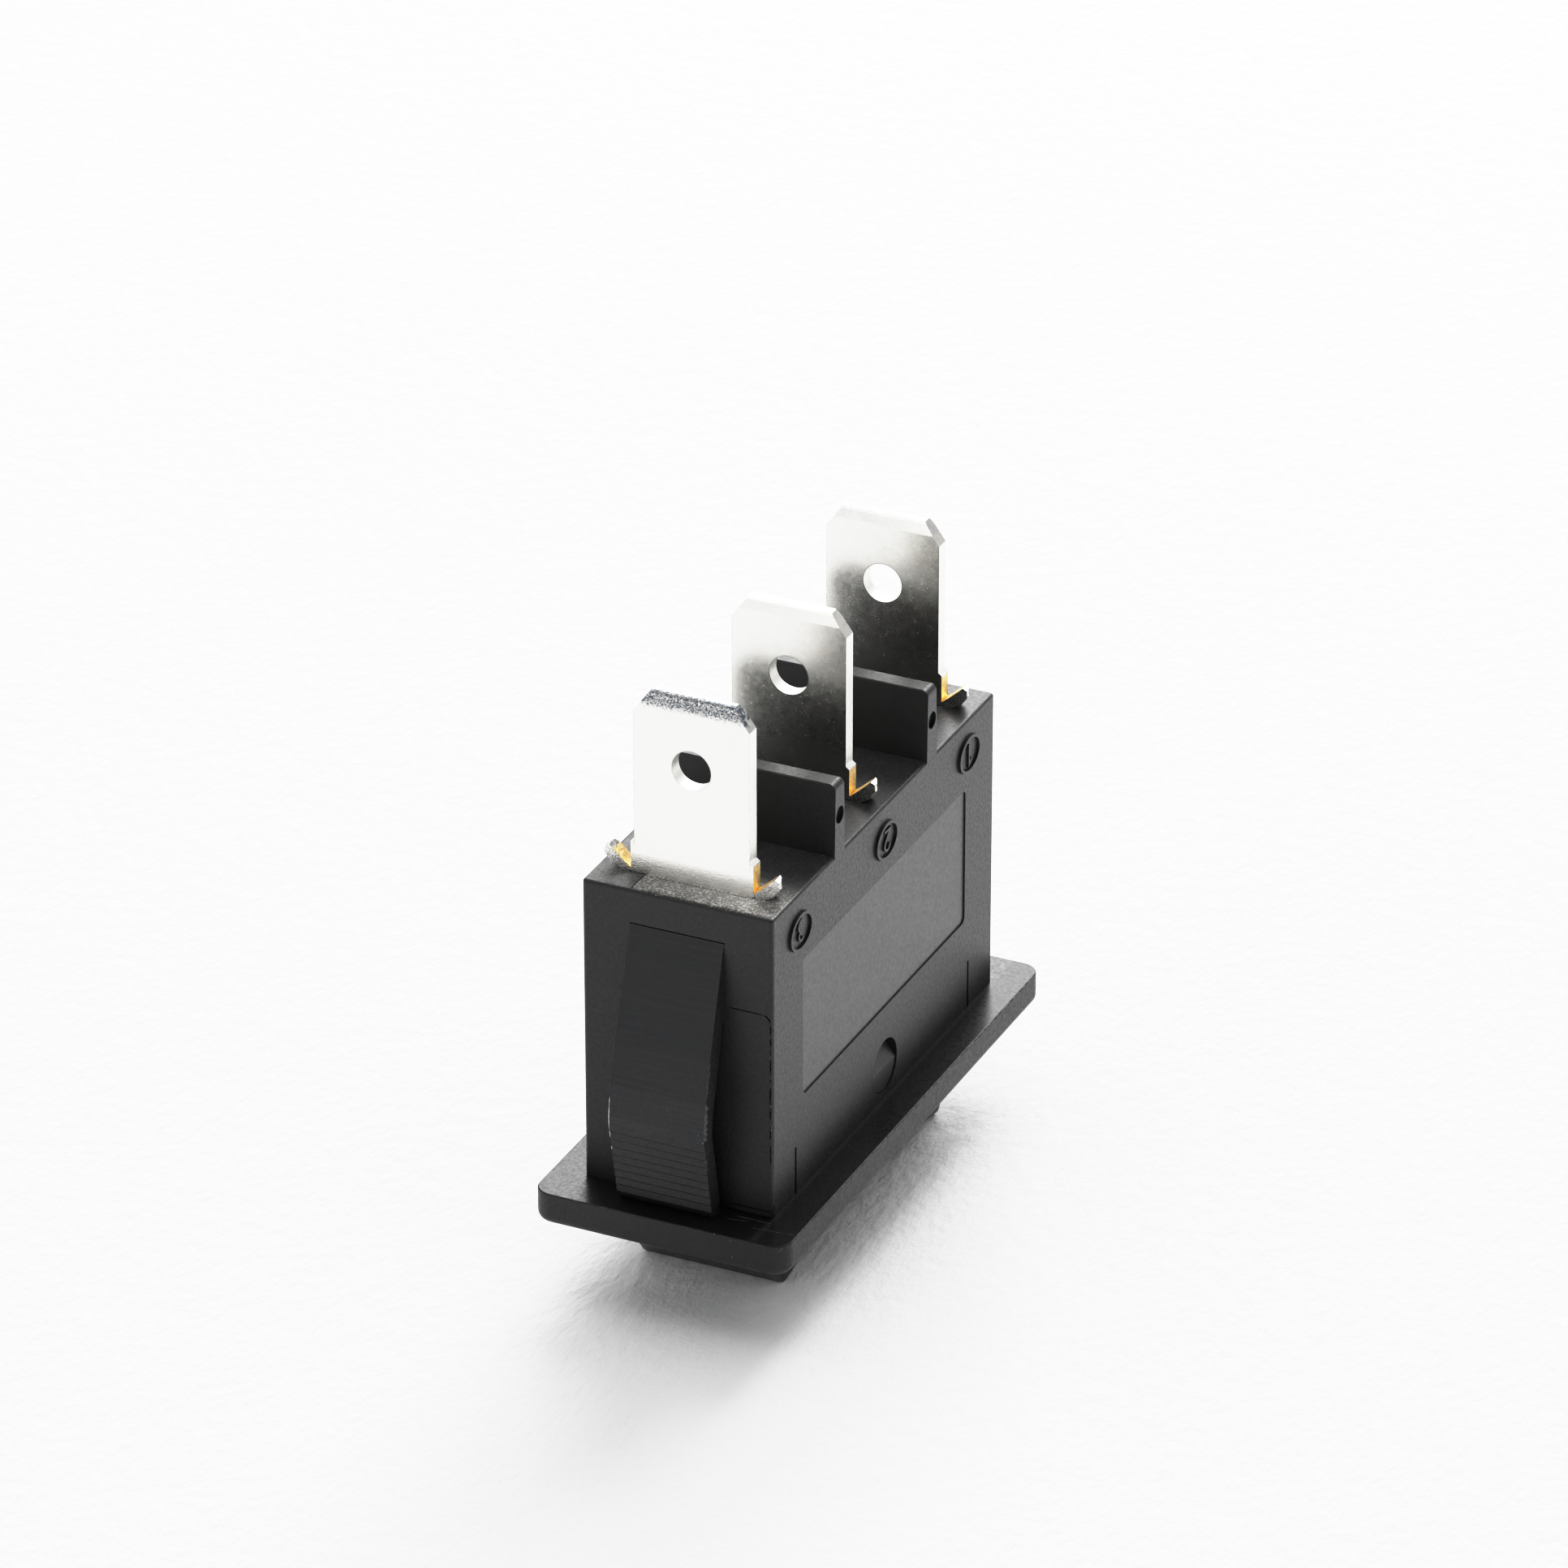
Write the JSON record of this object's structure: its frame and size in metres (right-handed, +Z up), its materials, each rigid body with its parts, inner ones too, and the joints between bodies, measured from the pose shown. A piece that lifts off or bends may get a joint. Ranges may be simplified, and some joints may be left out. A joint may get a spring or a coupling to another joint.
{
  "type": "rocker switch",
  "caption": "Narrow snap-in rocker switch with a centre rest position and blade terminals behind its bezel, separated by upright insulating barriers.",
  "frame": {"origin": "middle of the footprint, on the surface the switch stands on", "axes": "+Z up, along the terminals; +Y along the bezel's length; X across its width. The switch stands on its rocker, tabs up"},
  "size_m": [0.014, 0.032, 0.0333],
  "materials": {
    "black_nylon": "fine grained moulding",
    "rocker_black": "satin moulding",
    "tinned_brass": "bright tin plate over brass",
    "contact_silver": "silver alloy",
    "contact_brass": "rolled strip",
    "plunger_white": "moulded",
    "spring_steel": "drawn wire"
  },
  "bodies": {
    "base": {"housing": "black_nylon", "terminal_1": "tinned_brass", "terminal_2": "tinned_brass", "terminal_3": "tinned_brass", "fixed_contact_1": "contact_silver", "fixed_contact_3": "contact_silver"},
    "rocker_body": {"rocker": "rocker_black"},
    "seesaw": {"moving_contact": "contact_brass", "moving_rivet_1": "contact_silver", "moving_rivet_3": "contact_silver"},
    "plunger_body": {"plunger": "plunger_white", "plunger_spring": "spring_steel"}
  },
  "joints": [
    {"name": "rocker_tilt", "type": "hinge", "parent": "base", "child": "rocker_body", "pos_m": [0, 0, 0.00805], "axis": [1, 0, 0], "range_deg": [-11, 11]},
    {"name": "contact_tilt", "type": "hinge", "parent": "base", "child": "seesaw", "pos_m": [0, 0, 0.0159], "axis": [1, 0, 0], "range_deg": [-9, 9]},
    {"name": "plunger_slide", "type": "slide", "parent": "rocker_body", "child": "plunger_body", "axis": [0, 0, 1], "range_m": [-0.0008, 0], "stiffness_N_per_m": 800, "springref_m": 0.002, "deforming": ["plunger_spring"]}
  ],
  "couplings": [
    {"joint": "contact_tilt", "follows": "rocker_tilt", "ratio": -0.8181}
  ]
}
